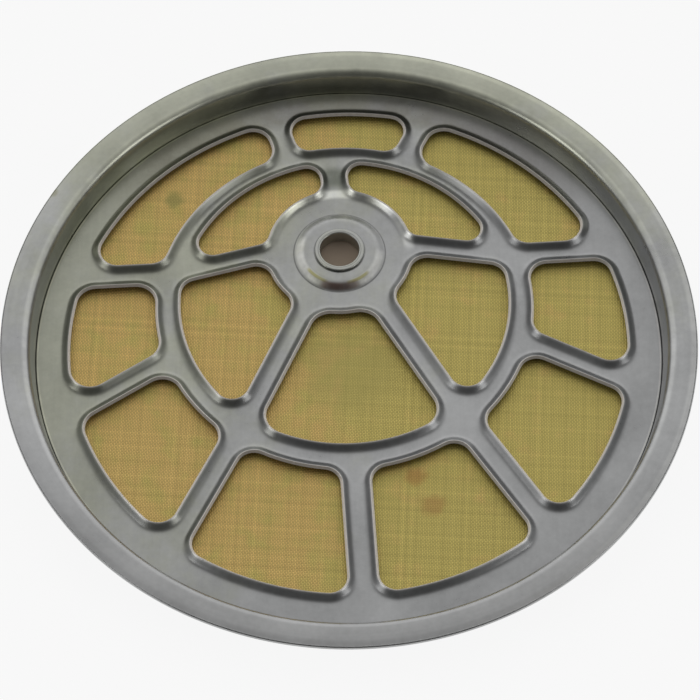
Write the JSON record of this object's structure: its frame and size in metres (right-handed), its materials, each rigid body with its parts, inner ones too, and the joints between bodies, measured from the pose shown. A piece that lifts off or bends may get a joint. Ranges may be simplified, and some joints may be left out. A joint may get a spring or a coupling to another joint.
{
  "type": "automatic transmission filter",
  "caption": "Round pressed-steel transmission strainer: a shallow flanged cup whose windowed floor backs a fine brass wire screen, with an off-centre bolt hole.",
  "frame": {"origin": "centre of the rim at the lowest face, where the part lies on a flat surface", "axes": "+Z out of the open recess, along the axis of the round rim; +Y from the rim's centre towards the side of the off-centre hub"},
  "size_m": [0.12, 0.12, 0.0065],
  "materials": {
    "rim_steel": "satin, oiled",
    "plate_steel": "satin, oiled",
    "screen_brass": "fine woven wire, darkened",
    "ferrule_steel": "satin"
  },
  "bodies": {
    "root": {"rim_shell": "rim_steel", "grille_plate": "plate_steel", "mesh_screen": "screen_brass", "hub_ferrule": "ferrule_steel"}
  },
  "joints": []
}
